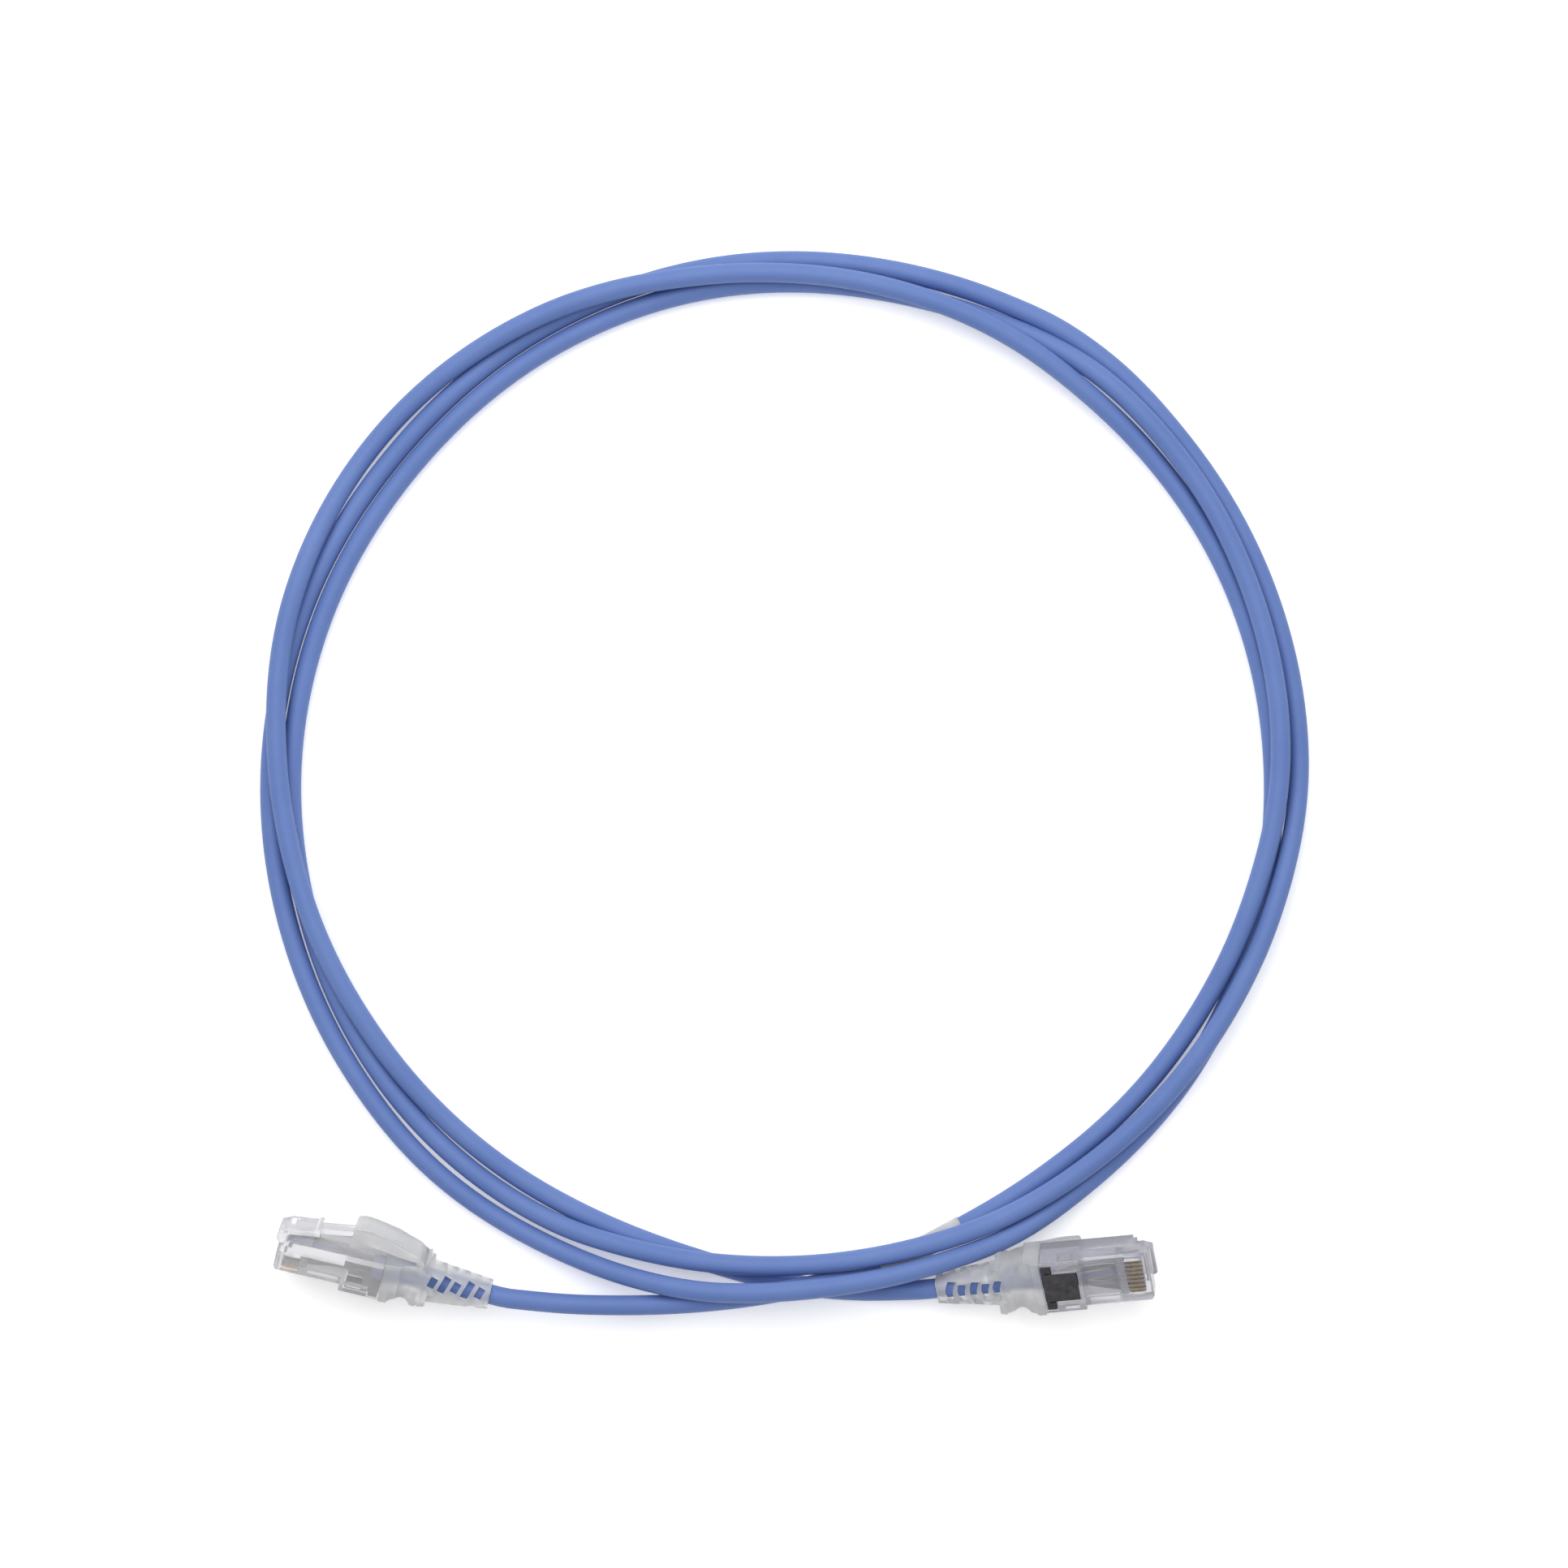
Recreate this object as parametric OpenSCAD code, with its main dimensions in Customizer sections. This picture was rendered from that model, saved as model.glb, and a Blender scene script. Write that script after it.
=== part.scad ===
// Ethernet patch cable: a slim round cord laid in three flat turns, with a
// clear eight-contact plug and a frosted snagless boot at each end.
// Millimetres, +Z up, the cord and the plugs rest on z = 0. The origin lies
// under the middle of the two plugs.

/* [Cord] */
// Outside diameter of the cord
cord_d = 4.0; // [3.4:0.1:6.2]
// Sides of the swept cord
cord_sides = 8; // [6:1:16]
// Wall of the printed sleeve label
label_wall = 0.25; // [0.15:0.05:0.5]

/* [Plug] */
// Length from the tail of the boot to the front of the nose
plug_len = 44; // [40:0.5:48]
// Width of the plug body
plug_w = 11.68; // [11.5:0.02:11.8]
// Height of the front of the plug body
plug_h = 6.6; // [6.4:0.05:6.8]
// Length of the clear body
body_len = 22; // [20:0.5:24]
// Length of the thinner front section
front_len = 13.8; // [12:0.1:15]
// Extra height of the rear section on the contact side
rear_step = 1.5; // [1:0.1:2]
// Spacing of the contacts
contact_pitch = 1.016; // [1.0:0.002:1.04]
// Thickness of one contact blade
contact_t = 0.45; // [0.25:0.05:0.5]
// Diameter of one insulated conductor
wire_d = 0.84; // [0.7:0.02:0.95]

/* [Latch and hood] */
// Width of the latch at its shoulders
latch_w = 6.22; // [6:0.02:6.4]
// Width of the thin lever behind the shoulders
lever_w = 3.25; // [3:0.05:3.5]
// Width of the hood over the lever
hood_w = 7.2; // [6.5:0.1:8]

/* [Boot] */
// Width of the boot at its shoulders
boot_w = 12.4; // [12:0.1:13]
// Width of the strain relief at its thick end
relief_w1 = 9.2; // [8:0.1:10]
// Width of the strain relief at the cord
relief_w0 = 6.2; // [5.8:0.1:8]
// Width of one relief slot along the cord
slot_len = 1.5; // [0.8:0.1:1.6]

/* [Hidden] */
cord_r = cord_d / 2;
// swept section: corners a little outside the round cord, flats a little inside
tube_r = 1.05 * cord_r;
bore_r = tube_r + 0.15;
wire_r = wire_d / 2;
half_w = plug_w / 2;

// heights measured from the axis of the cord, + towards the latch
contact_z = -2.4;
latch_z = contact_z + plug_h;
rear_z = contact_z - rear_step;
body_x0 = plug_len - body_len;
step_x = plug_len - front_len;
jacket_end = 24.5;

// hinge lines
latch_hx = 43.7;
latch_hz = 3.4;
hood_hx = 15;
hood_hz = 4.6;
latch_pin_r = 1.05;
hood_pin_r = 0.9;
pin_gap = 0.08;

// lie of the two plugs: tail point, roll, pitch and yaw
loop_c = [13.8, 99.5];
left_tail = [-59.9, -105.8, 6.72];
left_roll = 70;
left_pitch = 1.5;
left_yaw = 166.8;
right_tail = [31.4, -104.8, 4.67];
right_roll = 208;
right_pitch = 11;
right_yaw = 6.5;

// the coil, turn by turn: [bearing from the loop's centre, radius, height]
turn_1 = [
  [246.5, 117.4, 6.6], [253, 113.1, 6.2], [261, 108.9, 6.2], [268, 106.0, 6.2],
  [274, 104.0, 5.8], [280, 102.8, 3.4], [287, 100.6, 2.4], [292, 99.3, 2.3],
  [308, 97.7, 2.1], [326, 97.9, 2.0], [344, 98.9, 5.8], [362, 101.6, 6.1],
  [382, 102.7, 5.7], [400, 103.6, 5.2], [412, 104.1, 4.4], [418, 103.6, 3.0],
  [424, 102.7, 2.1], [440, 101.3, 2.0], [458, 100.9, 2.0], [478, 100.0, 2.0],
  [500, 99.2, 2.0], [520, 100.0, 2.0], [540, 101.1, 2.0], [558, 101.9, 2.0],
  [574, 102.9, 2.0], [590, 103.3, 2.0],
];
turn_2 = [
  [602, 102.9, 3.6], [612, 101.6, 5.6], [621, 100.8, 6.2], [628, 100.3, 6.4],
  [634, 100.1, 6.8], [640, 100.0, 7.3], [647, 100.2, 7.3], [656, 100.9, 6.7],
  [668, 101.2, 5.4], [686, 102.2, 6.1], [704, 103.5, 5.7], [722, 105.6, 2.2],
  [742, 105.9, 2.0], [760, 106.4, 2.0], [772, 107.4, 2.0], [778, 107.5, 2.0],
  [784, 106.8, 2.0], [800, 105.7, 2.0], [818, 105.1, 2.0], [838, 104.1, 2.0],
  [860, 103.3, 2.0], [880, 104.2, 2.0], [900, 105.3, 2.0], [918, 106.2, 2.0],
  [934, 107.2, 2.0], [950, 108.2, 2.0],
];
turn_3 = [
  [962, 107.7, 2.8], [972, 107.1, 6.4], [981, 106.3, 9.6], [988, 105.2, 10.3],
  [994, 104.5, 10.1], [1000, 104.3, 9.0], [1007, 104.3, 8.1], [1016, 104.9, 5.8],
  [1028, 104.0, 2.3], [1046, 102.9, 2.0], [1064, 101.5, 2.0], [1082, 100.4, 2.0],
  [1102, 100.0, 2.0], [1120, 99.8, 2.0], [1132, 99.8, 4.4], [1138, 100.4, 5.6],
  [1144, 101.0, 6.0], [1160, 102.0, 6.1], [1178, 103.2, 5.7], [1198, 106.2, 5.6],
  [1220, 108.0, 2.1], [1240, 106.6, 5.9], [1260, 103.2, 6.1], [1278, 100.9, 6.1],
  [1294, 99.4, 4.7], [1310, 99.0, 2.0],
];
turn_4 = [
  [1322, 98.9, 2.0], [1332, 99.5, 2.0], [1341, 101.0, 2.0], [1348, 103.2, 2.0],
  [1354, 105.4, 2.0], [1360, 107.3, 2.5],
];
// rings of the route between which the label wraps the cord
label_first = 9;
label_last = 11;

function loop_point(p) =
  [loop_c[0] + p[1] * cos(p[0]), loop_c[1] + p[1] * sin(p[0]), p[2]];

// unit vector from the tail of a plug towards its nose
function nose_way(pitch, yaw) =
  [cos(pitch) * cos(yaw), cos(pitch) * sin(yaw), sin(pitch)];

function placed(tail) = [tail[0] + loop_c[0], tail[1] + loop_c[1], tail[2]];

left_end = [
  for (x = [jacket_end, 12, 0, -4])
    placed(left_tail) + x * nose_way(left_pitch, left_yaw)
];
right_end = [
  for (x = [-4, 0, 12, jacket_end])
    placed(right_tail) + x * nose_way(right_pitch, right_yaw)
];
coil = [for (turn = [turn_1, turn_2, turn_3, turn_4]) for (p = turn) loop_point(p)];
route = concat(left_end, coil, right_end);

function unit(v) = v / norm(v);

// direction of the route at point i
function heading(pts, i) =
  let (a = max(i - 1, 0), b = min(i + 1, len(pts) - 1)) unit(pts[b] - pts[a]);

// corners of the section at point i, with a flat side downwards
function ring(pts, i, r) =
  let (
    t = heading(pts, i),
    s = unit(cross([0, 0, 1], t)),
    u = cross(t, s)
  )
  [
    for (k = [0 : cord_sides - 1])
      let (a = (k + 0.5) * 360 / cord_sides) pts[i] + r * (cos(a) * s + sin(a) * u)
  ];

// the long faces between two neighbouring rings, counted from point first
function skin(n, first, turn) =
  let (m = cord_sides) [
    for (i = [0 : n - 2])
      for (k = [0 : m - 1])
        let (a = first + i * m + k, b = first + i * m + (k + 1) % m)
          each turn > 0
            ? [[b + m, b, a], [a + m, b + m, a]]
            : [[a, b, b + m], [a, b + m, a + m]]
  ];

// a closed tube of flat-sided section along the points
module swept(pts, r) {
  n = len(pts);
  m = cord_sides;
  points = [for (i = [0 : n - 1]) each ring(pts, i, r)];
  near = [[for (k = [0 : m - 1]) k]];
  far = [[for (k = [m - 1 : -1 : 0]) (n - 1) * m + k]];
  polyhedron(
    points = points,
    faces = concat(skin(n, 0, 1), near, far),
    convexity = 12
  );
}

// a sleeve around the same section from one ring to another, open at both ends
module sleeve(pts, from, to, r_in, r_out) {
  n = to - from + 1;
  m = cord_sides;
  inner = n * m;
  last = (n - 1) * m;
  points = [
    for (r = [r_out, r_in]) for (i = [from : to]) each ring(pts, i, r)
  ];
  near = [
    for (k = [0 : m - 1])
      let (a = k, b = (k + 1) % m)
        each [[inner + a, a, b], [inner + b, inner + a, b]]
  ];
  far = [
    for (k = [0 : m - 1])
      let (a = last + k, b = last + (k + 1) % m)
        each [[inner + b, b, a], [inner + a, inner + b, a]]
  ];
  polyhedron(
    points = points,
    faces = concat(skin(n, 0, 1), skin(n, inner, -1), near, far),
    convexity = 8
  );
}

// places a plug drawn with its tail at x = 0 and its nose towards +X
module lie(tail, roll, pitch, yaw) {
  translate(placed(tail))
    rotate([roll, -pitch, yaw])
      children();
}

module on_left() {
  lie(left_tail, left_roll, left_pitch, left_yaw) children();
}

module on_right() {
  lie(right_tail, right_roll, right_pitch, right_yaw) children();
}

// a flat profile in x and z, spread evenly to both sides of the middle
module side_slab(profile, width) {
  translate([0, width / 2, 0])
    rotate([90, 0, 0])
      linear_extrude(height = width)
        polygon(profile);
}

module block(x0, x1, width, z0, z1) {
  translate([x0, -width / 2, z0])
    cube([x1 - x0, width, z1 - z0]);
}

module cross_pin(x, z, r, width) {
  translate([x, width / 2, z])
    rotate([90, 0, 0])
      cylinder(h = width, r = r, $fn = 40);
}

// ---------------------------------------------------------------- the plug

module body_outline() {
  nose_x = plug_len;
  side_slab([
    [body_x0, rear_z], [step_x, rear_z], [step_x, contact_z],
    [nose_x - 0.4, contact_z], [nose_x, contact_z + 0.5], [nose_x, 2.9],
    [42.2, 2.9], [42.2, 3.15], [41.05, 3.15], [41.05, latch_z],
    [body_x0, latch_z],
  ], plug_w);
}

module body_corners() {
  // takes the two front corners and the edges beside the latch off
  for (side = [-1, 1]) {
    translate([plug_len, side * half_w, 0])
      rotate([0, 0, 45])
        cube([0.8, 0.8, 20], center = true);
    translate([plug_len - 0.9, side * (half_w + latch_w / 2) / 2 + side * 0.15, 3])
      cube([2.4, half_w - latch_w / 2 + 0.3, 2.4], center = true);
  }
}

module plug_body() {
  row_w = 8 * contact_pitch;
  difference() {
    body_outline();
    body_corners();
    // room for the cord, then for the wires, then the conductor slots
    block(body_x0 - 1, 30, 9.6, -2.6, 2.6);
    block(29, 39, 9.2, -1.3, 1.3);
    block(38, 42.4, row_w, -0.5, 0.5);
    // contact slots
    for (i = [0 : 7])
      translate([39.1, (i - 3.5) * contact_pitch - 0.31, contact_z - 1])
        cube([3.6, 0.62, 3.1]);
    // pocket over the wires
    block(30.8, 37.2, 7.4, contact_z - 1, -1.7);
    // pocket for the strain clamp
    block(body_x0 - 1, 29.5, 6.9, rear_z - 1, -2.4);
    block(body_x0 - 1, 24.4, 10.8, rear_z - 1, -2.4);
    // shallow windows in both sides
    for (side = [-1, 1])
      translate([27.25, side * half_w, -1.3])
        cube([2.9, 1.3, 2.6], center = true);
    // cradle of the latch
    cross_pin(latch_hx, latch_hz, latch_pin_r + pin_gap, latch_w + 0.4);
  }
}

module plug_latch() {
  difference() {
    union() {
      cross_pin(latch_hx, latch_hz, latch_pin_r, latch_w);
      side_slab([
        [44.7, 3.2], [44.6, 4.7], [42.6, 5.7], [37.4, 6.4], [36.9, 6.9],
        [36.3, 6.8], [36.2, 5.4], [41, 4.75], [42.5, 4.5], [43, 3.6],
      ], latch_w);
      side_slab([
        [37.6, 5.3], [37.6, 6.3], [36, 6.6], [27.2, 8], [26.8, 7.6], [27, 7.1],
        [35.9, 5.5],
      ], lever_w);
    }
    // shallow hollow in the ramp
    translate([40.2, 0, 6.5])
      rotate([0, 7.5, 0])
        cube([2.6, 3.6, 1.2], center = true);
  }
}

module plug_contacts() {
  for (i = [0 : 7])
    translate([0, (i - 3.5) * contact_pitch, 0])
      side_slab([
        [39.25, -2], [39.6, -2.2], [42.1, -2.2], [42.4, -2.05], [42.55, -1.7],
        [42.55, -0.8], [42.1, -0.8], [41.9, -0.45], [41.4, -0.8],
        [40.4, -0.8], [39.9, -0.45], [39.7, -0.8], [39.25, -0.8],
      ], contact_t);
}

module plug_wire_guide() {
  difference() {
    block(37.4, 38.9, 8.9, -1.2, 1.2);
    for (i = [0 : 7])
      translate([37, (i - 3.5) * contact_pitch, 0])
        rotate([0, 90, 0])
          cylinder(h = 3, r = wire_r + 0.04, $fn = 24);
    for (i = [0 : 6])
      translate([38.15, (i - 3) * contact_pitch, -1.1])
        cube([2, 0.4, 0.7], center = true);
  }
}

// a straight piece of conductor from a to b
module wire_run(a, b, r) {
  d = b - a;
  translate(a)
    rotate([0, acos(d[2] / norm(d)), atan2(d[1], d[0])])
      cylinder(h = norm(d), r = r, $fn = 24);
}

// one conductor from the jacket, past a bend, to its place in the row; the
// end pieces lap into the slightly thicker middle one
module wire(start, bend, slot) {
  a = [jacket_end + 0.02, start[0], start[1]];
  b = [30, bend[0], bend[1]];
  c = [36, (slot - 3.5) * contact_pitch, 0];
  d = [42.2, c[1], 0];
  lap = 0.14;
  wire_run(a, b + lap * unit(b - a), wire_r);
  wire_run(b, c, wire_r + 0.05);
  wire_run(c - [lap, 0, 0], d, wire_r);
}

module wires_orange() {
  wire([-1.05, 0.43], [-2.3, 0.6], 0);
  wire([-1.05, -0.43], [-1.5, -0.5], 1);
}

module wires_green() {
  wire([-0.43, 1.05], [-1.0, 0.6], 2);
  wire([0.43, 1.05], [1.0, 0.6], 5);
}

module wires_blue() {
  wire([-0.43, -1.05], [-0.5, -0.7], 3);
  wire([0.43, -1.05], [0.5, -0.7], 4);
}

module wires_brown() {
  wire([1.05, -0.43], [1.5, -0.5], 6);
  wire([1.05, 0.43], [2.3, 0.6], 7);
}

module strain_clamp() {
  difference() {
    union() {
      block(22.2, 29.2, 6.6, -3.8, -2.75);
      block(22.3, 24.2, 10.4, -3.8, -2.75);
      block(22.4, 24.1, 4.4, -2.8, -tube_r - 0.1);
    }
    // notches that part the two arms from the plate
    for (side = [-1, 1])
      translate([23.6, side * 3.45, -3.3])
        cube([1.6, 0.3, 1.4], center = true);
  }
}

// ---------------------------------------------------------------- the boot

module boot_plan() {
  // outline seen square to the latch
  w0 = relief_w0 / 2;
  w1 = relief_w1 / 2;
  linear_extrude(height = 14, center = true)
    difference() {
      polygon([
        [0, -w0 + 0.5], [0.5, -w0], [12.2, -w1], [12.6, -w1 - 0.9],
        [19, -boot_w / 2], [body_x0 - 0.1, -boot_w / 2],
        [body_x0 - 0.1, boot_w / 2], [19, boot_w / 2],
        [12.6, w1 + 0.9], [12.2, w1], [0.5, w0], [0, w0 - 0.5],
      ]);
      for (side = [-1, 1])
        translate([16, side * 7.1])
          circle(r = 2.75, $fn = 48);
    }
}

module boot_side() {
  // outline seen from the side, latch side up
  difference() {
    side_slab([
      [0, -2.2], [0.5, -2.6], [12.6, -3.4], [13.4, -3.4], [14.6, -4.3],
      [20.8, -4.1], [body_x0 - 0.1, -4.1], [body_x0 - 0.1, 4.4],
      [14.4, 4.4], [13.4, 4.3], [13.3, 3.4], [0.5, 2.6], [0, 2.2],
    ], 14);
    cross_pin(18, -5.3, 2.6, 15);
    cross_pin(14, -4.3, 0.6, 15);
  }
}

// rounds the relief off; the rest of the boot keeps its square section
module relief_round() {
  translate([-1, 0, 0])
    rotate([0, 90, 0])
      cylinder(h = 13.6, r1 = 3, r2 = 4.6, $fn = 96);
  block(12.5, 23, 14, -7, 7);
}

// a curved cut from the middle plane down to the contact side
module crescent(x, width) {
  intersection() {
    translate([x + 4.4, 0, -4])
      difference() {
        cylinder(h = 8, r = 5, center = true, $fn = 96);
        cylinder(h = 9, r = 5 - slot_len, center = true, $fn = 96);
      }
    translate([x, 0, -4])
      cube([4, width, 9], center = true);
  }
}

// the slots that let the relief bend; long ones and short ones take turns
module relief_slots() {
  stations = [2.5, 5, 7.5, 9.9, 12.3];
  for (i = [0 : 4]) {
    long = i % 2 == 0;
    crescent(stations[i], long ? 5.4 : 4.4);
    // slanted cuts through both sides, a little towards the latch
    for (side = [-1, 1])
      rotate([side * 20, 0, 0])
        translate([stations[i] - 0.4, side * 5, 0])
          rotate([0, -18, 0])
            cube([slot_len, 10, long ? 2.4 : 3.8], center = true);
  }
}

module plug_boot() {
  difference() {
    intersection() {
      boot_plan();
      boot_side();
      relief_round();
    }
    // bore for the cord
    translate([-1, 0, 0])
      rotate([0, 90, 0])
        cylinder(h = 30, r = bore_r, $fn = 48);
    relief_slots();
    // room for the rear ends of the clamp and the body
    block(20.5, 23, 9.4, -2.6, 2.6);
    // groove for the rear edge of the hood
    cross_pin(hood_hx, hood_hz, hood_pin_r + pin_gap, hood_w + 0.6);
    block(hood_hx - 1.05, hood_hx + 1.05, hood_w + 0.6, hood_hz - 0.3, 6);
  }
}

module plug_hood() {
  difference() {
    union() {
      cross_pin(hood_hx, hood_hz, hood_pin_r, hood_w);
      side_slab([
        [14.9, 5.5], [14.6, 4.9], [15.6, 4.85], [18.5, 5.15], [22, 5.7],
        [27, 6.4], [28.8, 6.8], [29.3, 7.1], [29.6, 7.6], [29.7, 8.1],
        [29.5, 8.7], [29.1, 9.15], [28.4, 9.45], [27.4, 9.5], [25.6, 9.3],
        [23.4, 8.9], [21, 8.3], [19.4, 7.75], [18, 7.2], [15.9, 6.3],
      ], hood_w);
    }
    // channel for the lever of the latch
    side_slab([
      [18, 4], [31, 4], [31, 7.8], [30, 7.95], [26, 8.45], [24.5, 8], [18, 6],
    ], lever_w + 0.8);
    // soft long edges
    for (side = [-1, 1])
      translate([0, side * hood_w / 2, 0])
        side_slab([
          [14, 6.2], [18, 7], [21, 8.1], [25.6, 9], [31, 9], [31, 10], [14, 10],
        ], 1.2);
  }
}

// ------------------------------------------------------------- named nodes

module cable() { color([0.40, 0.50, 0.78]) swept(route, tube_r); }

module cable_label() {
  color([0.86, 0.87, 0.86])
    sleeve(route, label_first, label_last, tube_r + 0.05, tube_r + 0.05 + label_wall);
}

clear = [0.86, 0.88, 0.90, 0.45];
frosted = [0.82, 0.83, 0.86, 0.75];
gold = [0.80, 0.62, 0.30];
dark = [0.27, 0.26, 0.28];

module left_plug_body() { color(clear) on_left() plug_body(); }
module left_latch() { color(clear) on_left() plug_latch(); }
module left_contacts() { color(gold) on_left() plug_contacts(); }
module left_wire_guide() { color(clear) on_left() plug_wire_guide(); }
module left_pair_orange() { color([0.9, 0.5, 0.2]) on_left() wires_orange(); }
module left_pair_green() { color([0.2, 0.6, 0.35]) on_left() wires_green(); }
module left_pair_blue() { color([0.25, 0.45, 0.8]) on_left() wires_blue(); }
module left_pair_brown() { color([0.5, 0.33, 0.2]) on_left() wires_brown(); }
module left_strain_clamp() { color(dark) on_left() strain_clamp(); }
module left_boot() { color(frosted) on_left() plug_boot(); }
module left_hood() { color(frosted) on_left() plug_hood(); }

module right_plug_body() { color(clear) on_right() plug_body(); }
module right_latch() { color(clear) on_right() plug_latch(); }
module right_contacts() { color(gold) on_right() plug_contacts(); }
module right_wire_guide() { color(clear) on_right() plug_wire_guide(); }
module right_pair_orange() { color([0.9, 0.5, 0.2]) on_right() wires_orange(); }
module right_pair_green() { color([0.2, 0.6, 0.35]) on_right() wires_green(); }
module right_pair_blue() { color([0.25, 0.45, 0.8]) on_right() wires_blue(); }
module right_pair_brown() { color([0.5, 0.33, 0.2]) on_right() wires_brown(); }
module right_strain_clamp() { color(dark) on_right() strain_clamp(); }
module right_boot() { color(frosted) on_right() plug_boot(); }
module right_hood() { color(frosted) on_right() plug_hood(); }

cable();
cable_label();
left_plug_body();
left_latch();
left_contacts();
left_wire_guide();
left_pair_orange();
left_pair_green();
left_pair_blue();
left_pair_brown();
left_strain_clamp();
left_boot();
left_hood();
right_plug_body();
right_latch();
right_contacts();
right_wire_guide();
right_pair_orange();
right_pair_green();
right_pair_blue();
right_pair_brown();
right_strain_clamp();
right_boot();
right_hood();
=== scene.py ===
"""Looks of the ethernet patch cable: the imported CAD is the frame, and this
script adds the camera, the light, the materials, the round cord with its
label, and the conductors."""
import math

import bmesh
import bpy
from mathutils import Matrix, Vector


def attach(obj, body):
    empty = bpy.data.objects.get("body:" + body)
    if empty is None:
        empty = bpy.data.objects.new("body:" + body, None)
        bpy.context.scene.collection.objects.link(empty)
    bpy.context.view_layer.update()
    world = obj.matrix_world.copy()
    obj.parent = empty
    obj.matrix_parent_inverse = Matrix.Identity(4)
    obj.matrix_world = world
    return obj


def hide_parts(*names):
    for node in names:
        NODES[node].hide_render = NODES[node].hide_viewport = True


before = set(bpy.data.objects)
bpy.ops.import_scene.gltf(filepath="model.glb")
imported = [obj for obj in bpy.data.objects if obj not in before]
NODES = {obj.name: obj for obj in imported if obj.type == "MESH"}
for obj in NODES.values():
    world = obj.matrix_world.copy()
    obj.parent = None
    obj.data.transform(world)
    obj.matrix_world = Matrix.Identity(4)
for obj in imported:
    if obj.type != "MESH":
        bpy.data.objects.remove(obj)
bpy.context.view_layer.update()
ROOT = "cord_and_plugs"
MM = 0.001

# ------------------------------------------------------- layout, in metres

LOOP = Vector((0.0138, 0.0995, 0.0))
CORD_R = 0.00204
# the drawn cord lies this much above the CAD's centre line
LIFT = 0.00005
JACKET_END = 0.0245
LEFT = dict(tail=(-0.0599, -0.1058, 0.00672), roll=70, pitch=1.5, yaw=166.8)
RIGHT = dict(tail=(0.0314, -0.1048, 0.00467), roll=208, pitch=11, yaw=6.5)

# the coil: bearing from the loop's centre in degrees, radius and height
COIL = [
    (246.5, .1174, .0066), (253, .1131, .0062), (261, .1089, .0062),
    (268, .1060, .0062), (274, .1040, .0058), (280, .1028, .0034),
    (287, .1006, .0024), (292, .0993, .0023), (308, .0977, .0021),
    (326, .0979, .0020), (344, .0989, .0058), (362, .1016, .0061),
    (382, .1027, .0057), (400, .1036, .0052), (412, .1041, .0044),
    (418, .1036, .0030), (424, .1027, .0021), (440, .1013, .0020),
    (458, .1009, .0020), (478, .1000, .0020), (500, .0992, .0020),
    (520, .1000, .0020), (540, .1011, .0020), (558, .1019, .0020),
    (574, .1029, .0020), (590, .1033, .0020),
    (602, .1029, .0036), (612, .1016, .0056), (621, .1008, .0062),
    (628, .1003, .0064), (634, .1001, .0068), (640, .1000, .0073),
    (647, .1002, .0073), (656, .1009, .0067), (668, .1012, .0054),
    (686, .1022, .0061), (704, .1035, .0057), (722, .1056, .0022),
    (742, .1059, .0020), (760, .1064, .0020), (772, .1074, .0020),
    (778, .1075, .0020), (784, .1068, .0020), (800, .1057, .0020),
    (818, .1051, .0020), (838, .1041, .0020), (860, .1033, .0020),
    (880, .1042, .0020), (900, .1053, .0020), (918, .1062, .0020),
    (934, .1072, .0020), (950, .1082, .0020),
    (962, .1077, .0028), (972, .1071, .0064), (981, .1063, .0096),
    (988, .1052, .0103), (994, .1045, .0101), (1000, .1043, .0090),
    (1007, .1043, .0081), (1016, .1049, .0058), (1028, .1040, .0023),
    (1046, .1029, .0020), (1064, .1015, .0020), (1082, .1004, .0020),
    (1102, .1000, .0020), (1120, .0998, .0020), (1132, .0998, .0044),
    (1138, .1004, .0056), (1144, .1010, .0060), (1160, .1020, .0061),
    (1178, .1032, .0057), (1198, .1062, .0056), (1220, .1080, .0021),
    (1240, .1066, .0059), (1260, .1032, .0061), (1278, .1009, .0061),
    (1294, .0994, .0047), (1310, .0990, .0020),
    (1322, .0989, .0020), (1332, .0995, .0020), (1341, .1010, .0020),
    (1348, .1032, .0020), (1354, .1054, .0020), (1360, .1073, .0025),
]
COIL_STEP = 1.5

# places of the cord in a boot, from the jacket's end to just behind the tail
IN_BOOT = (JACKET_END, 0.016, 0.008, 0.0, -0.004)
PATH_STEP = 0.0018
# points at each end that evening out leaves alone, and how often it is done
HELD_POINTS = 16
EVEN_ROUNDS = 10

LABEL_BEARINGS = (280, 292)
# the label's two surfaces, outside the cord's
LABEL_OUTSIDE = 0.00025
LABEL_INSIDE = 0.00004

CORD_SIDES = 24
LABEL_SIDES = 28
WIRE_SIDES = 14


def plug_matrix(lie):
    """Takes a point of the plug's own frame, tail at 0 and nose along +X, to its place."""
    turn = (
        Matrix.Rotation(math.radians(lie["yaw"]), 4, "Z")
        @ Matrix.Rotation(math.radians(-lie["pitch"]), 4, "Y")
        @ Matrix.Rotation(math.radians(lie["roll"]), 4, "X")
    )
    return Matrix.Translation(Vector(lie["tail"]) + LOOP) @ turn


PLUGS = {"left": plug_matrix(LEFT), "right": plug_matrix(RIGHT)}


def slopes(xs, ys):
    """Slopes of a smooth curve through the points that never overshoots them."""
    d = [(b - a) / (q - p) for a, b, p, q in zip(ys, ys[1:], xs, xs[1:])]
    m = [d[0]]
    for a, b in zip(d, d[1:]):
        m.append(0.0 if a * b <= 0 else 2 * a * b / (a + b))
    return m + [d[-1]]


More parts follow.
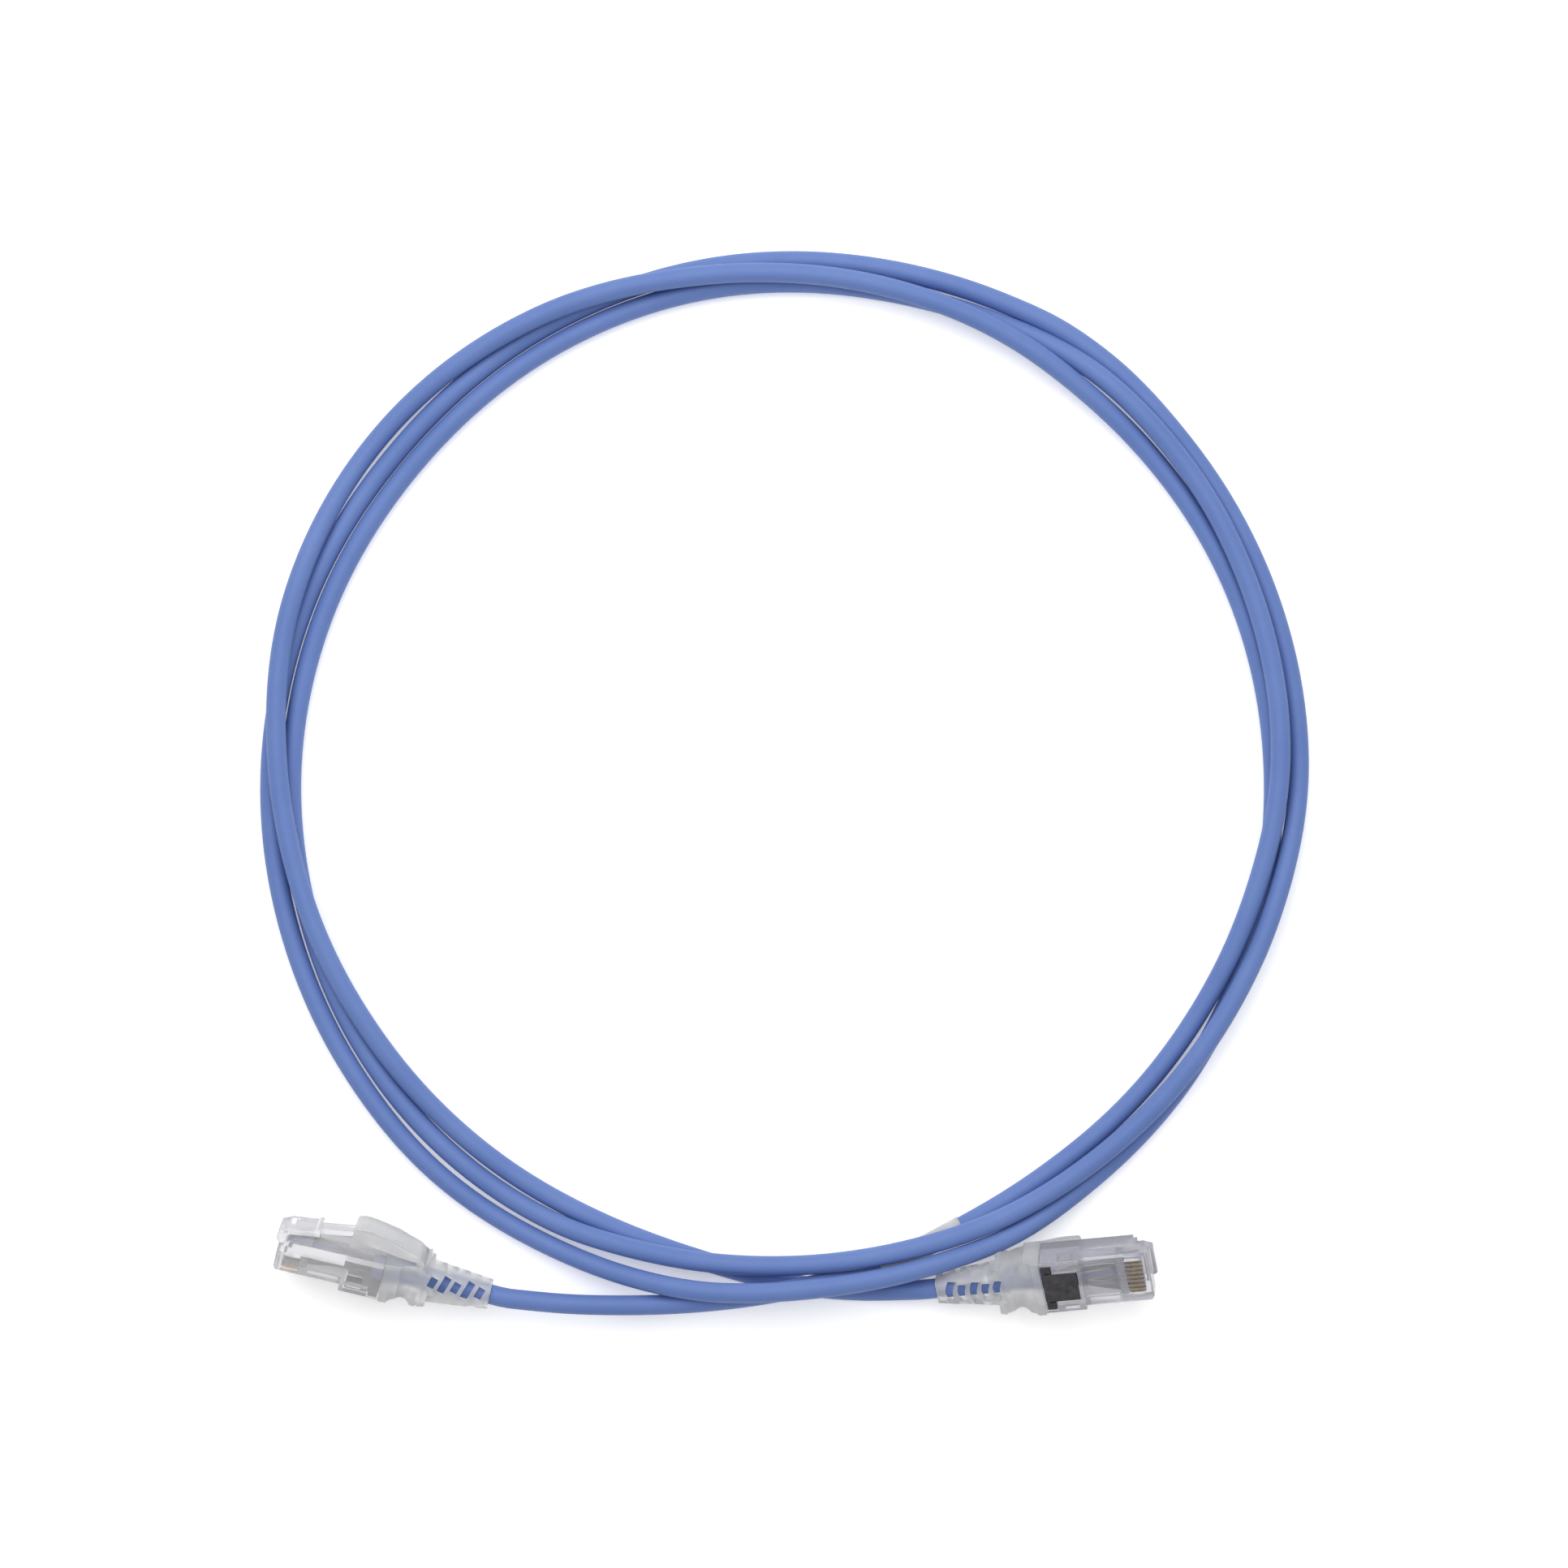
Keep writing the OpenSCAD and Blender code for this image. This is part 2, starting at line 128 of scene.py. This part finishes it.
def smooth_at(xs, ys, ms, x):
    """The height at x of the curve through xs, ys with slopes ms."""
    i = 0
    while i < len(xs) - 2 and x > xs[i + 1]:
        i += 1
    h = xs[i + 1] - xs[i]
    t = (x - xs[i]) / h
    return (
        (1 + 2 * t) * (1 - t) ** 2 * ys[i]
        + t * (1 - t) ** 2 * h * ms[i]
        + t * t * (3 - 2 * t) * ys[i + 1]
        + t * t * (t - 1) * h * ms[i + 1]
    )


def coil_points():
    """(bearing, point) along the coil, every COIL_STEP degrees."""
    bearings = [c[0] for c in COIL]
    radii = [c[1] for c in COIL]
    heights = [c[2] for c in COIL]
    radius_slopes = slopes(bearings, radii)
    height_slopes = slopes(bearings, heights)
    first = bearings[0]
    span = bearings[-1] - first
    n = round(span / COIL_STEP)
    out = []
    for k in range(n + 1):
        bearing = first + span * k / n
        r = smooth_at(bearings, radii, radius_slopes, bearing)
        z = smooth_at(bearings, heights, height_slopes, bearing)
        a = math.radians(bearing)
        out.append((bearing, LOOP + Vector((r * math.cos(a), r * math.sin(a), z + LIFT))))
    return out


def spline(points, step):
    """Points every step along a smooth curve through the given ones."""
    out = []
    ext = [2 * points[0] - points[1]] + points + [2 * points[-1] - points[-2]]
    for a, b, c, d in zip(ext, ext[1:], ext[2:], ext[3:]):
        n = max(1, round((c - b).length / step))
        for k in range(n):
            t = k / n
            out.append(
                0.5 * (2 * b + (c - a) * t + (2 * a - 5 * b + 4 * c - d) * t * t
                       + (3 * b - a - 3 * c + d) * t ** 3)
            )
    return out + [points[-1]]


def relaxed(points, keep, rounds):
    """The points evened out, apart from the first and last few."""
    pts = [p.copy() for p in points]
    for _ in range(rounds):
        new = [p.copy() for p in pts]
        for i in range(keep, len(pts) - keep):
            new[i] = 0.5 * pts[i] + 0.25 * (pts[i - 1] + pts[i + 1])
        pts = new
    return pts


def cord_path(coil):
    """The cord's centre line, from inside the left boot to inside the right."""
    start = [PLUGS["left"] @ Vector((x, 0, 0)) for x in IN_BOOT]
    end = [PLUGS["right"] @ Vector((x, 0, 0)) for x in reversed(IN_BOOT)]
    middle = [point for _, point in coil]
    return relaxed(spline(start + middle + end, PATH_STEP), HELD_POINTS, EVEN_ROUNDS)


# ------------------------------------------------------------- mesh helpers

def new_object(name, bm, material, smooth=True):
    mesh = bpy.data.meshes.new(name)
    bm.normal_update()
    bm.to_mesh(mesh)
    bm.free()
    for p in mesh.polygons:
        p.use_smooth = smooth
    obj = bpy.data.objects.new(name, mesh)
    bpy.context.scene.collection.objects.link(obj)
    mesh.materials.append(material)
    return obj


def section_frames(points):
    """(point, side, up) along the points, turned as little as possible."""
    out = []
    side = None
    for i, p in enumerate(points):
        t = (points[min(i + 1, len(points) - 1)] - points[max(i - 1, 0)]).normalized()
        if side is None:
            side = Vector((0, 0, 1)).cross(t)
            if side.length < 1e-3:
                side = Vector((1, 0, 0)).cross(t)
        side = (side - side.dot(t) * t).normalized()
        out.append((p, side, t.cross(side)))
    return out


def add_rings(bm, points, radius, sides):
    """A ring of vertices around every point."""
    angles = [2 * math.pi * j / sides for j in range(sides)]
    return [
        [bm.verts.new(p + radius * (math.cos(a) * s + math.sin(a) * u)) for a in angles]
        for p, s, u in section_frames(points)
    ]


def add_wall(bm, uv, rings, run, uv_scale, facing_in):
    """Quads between the rings. run is how far along the tube each ring is."""
    sides = len(rings[0])
    for i in range(len(rings) - 1):
        for j in range(sides):
            k = (j + 1) % sides
            quad = [rings[i][j], rings[i][k], rings[i + 1][k], rings[i + 1][j]]
            places = [(run[i], j), (run[i], j + 1), (run[i + 1], j + 1), (run[i + 1], j)]
            if facing_in:
                quad.reverse()
                places.reverse()
            face = bm.faces.new(quad)
            for loop, (along, around) in zip(face.loops, places):
                loop[uv].uv = (along * uv_scale, around / sides)


def add_rim(bm, outer, inner, at_far_end):
    """The flat ring that closes one end of a sleeve."""
    for j in range(len(outer)):
        k = (j + 1) % len(outer)
        quad = [outer[k], outer[j], inner[j], inner[k]]
        if at_far_end:
            quad.reverse()
        bm.faces.new(quad)


def tube(name, points, radius, sides, material, uv_scale=1.0, inner=None):
    """A round rod along the points, or a sleeve where an inner radius is given."""
    bm = bmesh.new()
    uv = bm.loops.layers.uv.new("along")
    run = [0.0]
    for a, b in zip(points, points[1:]):
        run.append(run[-1] + (b - a).length)
    outside = add_rings(bm, points, radius, sides)
    if inner is None:
        add_wall(bm, uv, outside, run, uv_scale, facing_in=False)
        bm.faces.new(list(reversed(outside[0])))
        bm.faces.new(outside[-1])
    else:
        inside = add_rings(bm, points, inner, sides)
        add_wall(bm, uv, outside, run, uv_scale, facing_in=False)
        add_wall(bm, uv, inside, run, uv_scale, facing_in=True)
        add_rim(bm, outside[0], inside[0], at_far_end=False)
        add_rim(bm, outside[-1], inside[-1], at_far_end=True)
    return new_object(name, bm, material)


# ---------------------------------------------------------------- materials

# the part of the noise's range that its two ends are spread over
NOISE_LOW = 0.3
NOISE_HIGH = 0.7

# the stripe of a striped conductor: turns per mm, and where round the wire it fades
STRIPE_TURNS = 0.06
STRIPE_EDGE = (0.3, 0.34)
# a colour mix node's own sockets: its two colours, and the result
MIX_A = 6
MIX_B = 7
MIX_RESULT = 2


def shader(name, color, rough, metallic=0.0):
    """A Principled material, its node tree and its shader node."""
    mat = bpy.data.materials.new(name)
    mat.use_nodes = True
    nt = mat.node_tree
    bsdf = nt.nodes["Principled BSDF"]
    bsdf.inputs["Base Color"].default_value = (*color, 1)
    bsdf.inputs["Roughness"].default_value = rough
    bsdf.inputs["Metallic"].default_value = metallic
    return mat, nt, bsdf


def noise(nt, scale, detail):
    coords = nt.nodes.new("ShaderNodeTexCoord")
    node = nt.nodes.new("ShaderNodeTexNoise")
    node.inputs["Scale"].default_value = scale
    node.inputs["Detail"].default_value = detail
    nt.links.new(coords.outputs["Object"], node.inputs["Vector"])
    return node.outputs["Fac"]


def ramp(nt, fac, c0, c1, high=NOISE_HIGH):
    """Colours between c0 and c1 as fac goes from NOISE_LOW to high."""
    node = nt.nodes.new("ShaderNodeValToRGB")
    dark, light = node.color_ramp.elements
    dark.position, light.position = NOISE_LOW, high
    dark.color, light.color = (*c0, 1), (*c1, 1)
    nt.links.new(fac, node.inputs["Fac"])
    return node.outputs["Color"]


def remap(nt, fac, low, high, to_low, to_high):
    """fac spread from low..high to to_low..to_high."""
    node = nt.nodes.new("ShaderNodeMapRange")
    node.inputs["From Min"].default_value = low
    node.inputs["From Max"].default_value = high
    node.inputs["To Min"].default_value = to_low
    node.inputs["To Max"].default_value = to_high
    nt.links.new(fac, node.inputs["Value"])
    return node.outputs["Result"]


def mottle(nt, bsdf, scale, detail, c0, c1, high=NOISE_HIGH):
    """Lets the colour wander between c0 and c1."""
    tone = ramp(nt, noise(nt, scale, detail), c0, c1, high)
    nt.links.new(tone, bsdf.inputs["Base Color"])


def vary_roughness(nt, bsdf, scale, detail, smoothest, roughest):
    fac = noise(nt, scale, detail)
    rough = remap(nt, fac, NOISE_LOW, NOISE_HIGH, smoothest, roughest)
    nt.links.new(rough, bsdf.inputs["Roughness"])


def bump(nt, bsdf, scale, detail, strength, distance, below=None):
    """A fine relief. below is the relief it is added to."""
    height = noise(nt, scale, detail)
    node = nt.nodes.new("ShaderNodeBump")
    node.inputs["Strength"].default_value = strength
    node.inputs["Distance"].default_value = distance
    nt.links.new(height, node.inputs["Height"])
    if below is not None:
        nt.links.new(below, node.inputs["Normal"])
    nt.links.new(node.outputs["Normal"], bsdf.inputs["Normal"])
    return node.outputs["Normal"]


def cord_material():
    mat, nt, bsdf = shader("cord_vinyl", (0.14, 0.23, 0.56), 0.42)
    bsdf.inputs["Specular IOR Level"].default_value = 0.28
    mottle(nt, bsdf, 55, 4, (0.112, 0.186, 0.455), (0.136, 0.216, 0.495), high=0.75)
    vary_roughness(nt, bsdf, 900, 3, 0.44, 0.58)
    grain = bump(nt, bsdf, 2600, 2, strength=0.12, distance=0.00006)
    bump(nt, bsdf, 160, 2, strength=0.25, distance=0.00012, below=grain)
    return mat


def label_material():
    mat, nt, bsdf = shader("label_film", (0.72, 0.73, 0.71), 0.32)
    bsdf.inputs["Coat Weight"].default_value = 0.25
    mottle(nt, bsdf, 240, 3, (0.42, 0.43, 0.44), (0.54, 0.55, 0.56))
    bump(nt, bsdf, 700, 2, strength=0.1, distance=0.00005)
    return mat


def clear_material(name, tint, transmission):
    mat, nt, bsdf = shader("clear_polycarbonate_" + name, tint, 0.2)
    bsdf.inputs["Transmission Weight"].default_value = transmission
    bsdf.inputs["IOR"].default_value = 1.38
    vary_roughness(nt, bsdf, 350, 3, 0.07, 0.14)
    bump(nt, bsdf, 260, 2, strength=0.03, distance=0.00003)
    return mat


def frosted_material():
    mat, nt, bsdf = shader("frosted_vinyl", (0.94, 0.94, 0.94), 0.4)
    bsdf.inputs["Transmission Weight"].default_value = 0.76
    bsdf.inputs["IOR"].default_value = 1.4
    mottle(nt, bsdf, 180, 3, (0.93, 0.93, 0.93), (0.975, 0.97, 0.97))
    vary_roughness(nt, bsdf, 420, 3, 0.34, 0.52)
    bump(nt, bsdf, 1800, 2, strength=0.2, distance=0.00006)
    return mat


def gold_material():
    mat, nt, bsdf = shader("gold_plate", (0.78, 0.52, 0.22), 0.28, metallic=1.0)
    mottle(nt, bsdf, 900, 2, (0.36, 0.23, 0.12), (0.55, 0.38, 0.20))
    vary_roughness(nt, bsdf, 1500, 2, 0.2, 0.4)
    return mat


def dark_material():
    mat, nt, bsdf = shader("dark_clamp", (0.035, 0.033, 0.038), 0.4)
    mottle(nt, bsdf, 700, 3, (0.026, 0.024, 0.028), (0.06, 0.056, 0.062))
    bump(nt, bsdf, 1400, 3, strength=0.3, distance=0.0001)
    return mat


def stripe_share(nt):
    """1 on a stripe that winds round the wire and 0 beside it."""
    uv = nt.nodes.new("ShaderNodeUVMap")
    uv.uv_map = "along"
    split = nt.nodes.new("ShaderNodeSeparateXYZ")
    nt.links.new(uv.outputs["UV"], split.inputs["Vector"])
    turn = nt.nodes.new("ShaderNodeMath")
    turn.operation = "MULTIPLY_ADD"
    turn.inputs[1].default_value = STRIPE_TURNS
    nt.links.new(split.outputs["X"], turn.inputs[0])
    nt.links.new(split.outputs["Y"], turn.inputs[2])
    part = nt.nodes.new("ShaderNodeMath")
    part.operation = "FRACT"
    nt.links.new(turn.outputs["Value"], part.inputs[0])
    return remap(nt, part.outputs["Value"], *STRIPE_EDGE, 1, 0)


def wire_material(name, color, stripe=None):
    mat, nt, bsdf = shader("insulation_" + name, color, 0.3)
    shade = tuple(0.85 * c for c in color)
    tone = ramp(nt, noise(nt, 800, 2), shade, color)
    if stripe:
        mix = nt.nodes.new("ShaderNodeMix")
        mix.data_type = "RGBA"
        nt.links.new(stripe_share(nt), mix.inputs["Factor"])
        nt.links.new(tone, mix.inputs[MIX_A])
        mix.inputs[MIX_B].default_value = (*stripe, 1)
        tone = mix.outputs[MIX_RESULT]
    nt.links.new(tone, bsdf.inputs["Base Color"])
    bump(nt, bsdf, 1200, 2, strength=0.1, distance=0.00005)
    return mat


MAT = {
    "cord": cord_material(),
    "label": label_material(),
    "clear_left": clear_material("left", (0.92, 0.92, 0.94), 0.75),
    # the same plastic as the left plug's, made darker and greyer: painted shade
    "clear_right": clear_material("right", (0.84, 0.84, 0.88), 0.77),
    "frosted": frosted_material(),
    "gold": gold_material(),
    "dark": dark_material(),
}

# --------------------------------------------------- camera, floor and light

# the frame's width on the table, and the camera's place over the loop
TABLE_SPAN = 0.322
CAMERA_HEIGHT = 0.9
CAMERA_SHIFT_Y = -0.00183
SENSOR_MM = 36

FLOOR_REACH = 1.5
FLOOR_GLOW = 0.3
WORLD_STRENGTH = 0.44

# name, size in m, power in W and place from the loop's centre
LIGHTS = [
    ("key", 1.1, 9.0, (-0.1, 0.44, 0.82)),
    ("fill", 1.2, 1.5, (0.7, -0.5, 1.0)),
]


def add_camera(scene):
    """A camera straight above the coil, as high as the photo's is taken to be."""
    cam = bpy.data.cameras.new("camera")
    cam.sensor_width = SENSOR_MM
    cam.lens = SENSOR_MM * CAMERA_HEIGHT / TABLE_SPAN
    obj = bpy.data.objects.new("camera", cam)
    obj.location = LOOP + Vector((0, CAMERA_SHIFT_Y, CAMERA_HEIGHT))
    scene.collection.objects.link(obj)
    scene.camera = obj


def add_floor():
    bm = bmesh.new()
    bmesh.ops.create_grid(bm, x_segments=2, y_segments=2, size=FLOOR_REACH)
    mat, nt, bsdf = shader("floor", (0.93, 0.93, 0.935), 0.9)
    mottle(nt, bsdf, 30, 2, (0.925, 0.925, 0.93), (0.935, 0.935, 0.94))
    bsdf.inputs["Emission Color"].default_value = (1, 1, 1, 1)
    bsdf.inputs["Emission Strength"].default_value = FLOOR_GLOW
    floor = new_object("floor", bm, mat, smooth=False)
    floor.location = (LOOP.x, LOOP.y, 0)


def add_area_light(scene, name, size, power, offset):
    """A square light, aimed at the loop's centre."""
    light = bpy.data.lights.new(name, "AREA")
    light.size = size
    light.energy = power
    obj = bpy.data.objects.new(name, light)
    obj.location = LOOP + Vector(offset)
    obj.rotation_euler = (-Vector(offset)).to_track_quat("-Z", "Y").to_euler()
    obj.visible_camera = False
    scene.collection.objects.link(obj)


def add_world(scene):
    world = bpy.data.worlds.new("studio")
    world.use_nodes = True
    background = world.node_tree.nodes["Background"]
    background.inputs["Color"].default_value = (1, 1, 1, 1)
    background.inputs["Strength"].default_value = WORLD_STRENGTH
    scene.world = world


def set_up_stage():
    scene = bpy.context.scene
    add_camera(scene)
    scene.view_settings.view_transform = "Standard"
    scene.view_settings.look = "None"
    add_floor()
    for light in LIGHTS:
        add_area_light(scene, *light)
    add_world(scene)


set_up_stage()

# --------------------------------------------------- the cord and its label

coil = coil_points()
path = cord_path(coil)
cord = tube("cord_jacket", path, CORD_R, CORD_SIDES, MAT["cord"])
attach(cord, ROOT)
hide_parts("cable")

label_points = [p for b, p in coil if LABEL_BEARINGS[0] <= b <= LABEL_BEARINGS[1]]
label = tube("cord_label", label_points, CORD_R + LABEL_OUTSIDE, LABEL_SIDES, MAT["label"],
             inner=CORD_R + LABEL_INSIDE)
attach(label, ROOT)
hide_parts("cable_label")

# ------------------------------------------------------------ the CAD nodes

# material, bevel width in mm, and the least angle in degrees that is bevelled
FINISH = {
    "plug_body": ("clear", 0.12, 28),
    "latch": ("clear", 0.15, 12),
    "wire_guide": ("clear", 0.05, 28),
    "contacts": ("gold", 0.04, 28),
    "strain_clamp": ("dark", 0.1, 28),
    "boot": ("frosted", 0.15, 28),
    "hood": ("frosted", 0.35, 6),
}
BEVEL_SEGMENTS = 3


def soften(obj, width, angle):
    """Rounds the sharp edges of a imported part."""
    mod = obj.modifiers.new("bevel", "BEVEL")
    mod.width = width * MM
    mod.segments = BEVEL_SEGMENTS
    mod.limit_method = "ANGLE"
    mod.angle_limit = math.radians(angle)
    mod.use_clamp_overlap = True
    mod.harden_normals = True


for side in PLUGS:
    for node, (finish, width, angle) in FINISH.items():
        # each plug's clear parts have their own material; the right one's is darker and
        # greyer, painted shade
        key = f"clear_{side}" if finish == "clear" else finish
        obj = NODES[f"{side}_{node}"]
        obj.data.materials.clear()
        obj.data.materials.append(MAT[key])
        soften(obj, width, angle)

# ---------------------------------------------------------------- conductors

CONTACT_PITCH = 0.001016
MIDDLE_SLOT = 3.5
WIRE_R = 0.00042
WIRE_STEP = 0.0006
# where a conductor starts, spreads, enters the guide, runs in it and ends
WIRE_START = JACKET_END + 0.00002
WIRE_BEND = 0.030
WIRE_STRAIGHT = (0.036, 0.039, 0.0422)

# each conductor: start and bend in mm across the plug, its slot, and if it is striped
PAIRS = {
    "orange": [((-1.05, .43), (-2.3, .6), 0, True), ((-1.05, -.43), (-1.5, -.5), 1, False)],
    "green": [((-.43, 1.05), (-1.0, .6), 2, True), ((.43, 1.05), (1.0, .6), 5, False)],
    "blue": [((-.43, -1.05), (-.5, -.7), 3, False), ((.43, -1.05), (.5, -.7), 4, True)],
    "brown": [((1.05, -.43), (1.5, -.5), 6, True), ((1.05, .43), (2.3, .6), 7, False)],
}
# the pairs' insulation colours with painted shade in them: orange, green and brown are
# darkened well past their own colours, and blue keeps its own
WIRE_COLOR_WITH_SHADE = {
    "orange": (0.16, 0.10, 0.08),
    "green": (0.05, 0.08, 0.08),
    "blue": (0.03, 0.15, 0.60),
    "brown": (0.07, 0.06, 0.06),
}
# the white wires' ground, greyed with painted shade
STRIPE_GROUND_WITH_SHADE = (0.26, 0.27, 0.30)


def wire_points(place, start, bend, slot):
    """A conductor's centre line, from the jacket's end to its contact."""
    y = (slot - MIDDLE_SLOT) * CONTACT_PITCH
    knots = [
        Vector((WIRE_START, start[0] * MM, start[1] * MM)),
        Vector((WIRE_BEND, bend[0] * MM, bend[1] * MM)),
    ]
    knots += [Vector((x, y, 0)) for x in WIRE_STRAIGHT]
    return [place @ p for p in spline(knots, WIRE_STEP)]


for pair, wires in PAIRS.items():
    solid = wire_material(pair, WIRE_COLOR_WITH_SHADE[pair])
    striped = wire_material("white_" + pair, STRIPE_GROUND_WITH_SHADE, WIRE_COLOR_WITH_SHADE[pair])
    for side, place in PLUGS.items():
        for start, bend, slot, is_striped in wires:
            wire = tube(f"{side}_wire_{slot + 1}", wire_points(place, start, bend, slot),
                        WIRE_R, WIRE_SIDES, striped if is_striped else solid,
                        uv_scale=1 / MM)
            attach(wire, ROOT)
            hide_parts(f"{side}_pair_{pair}")
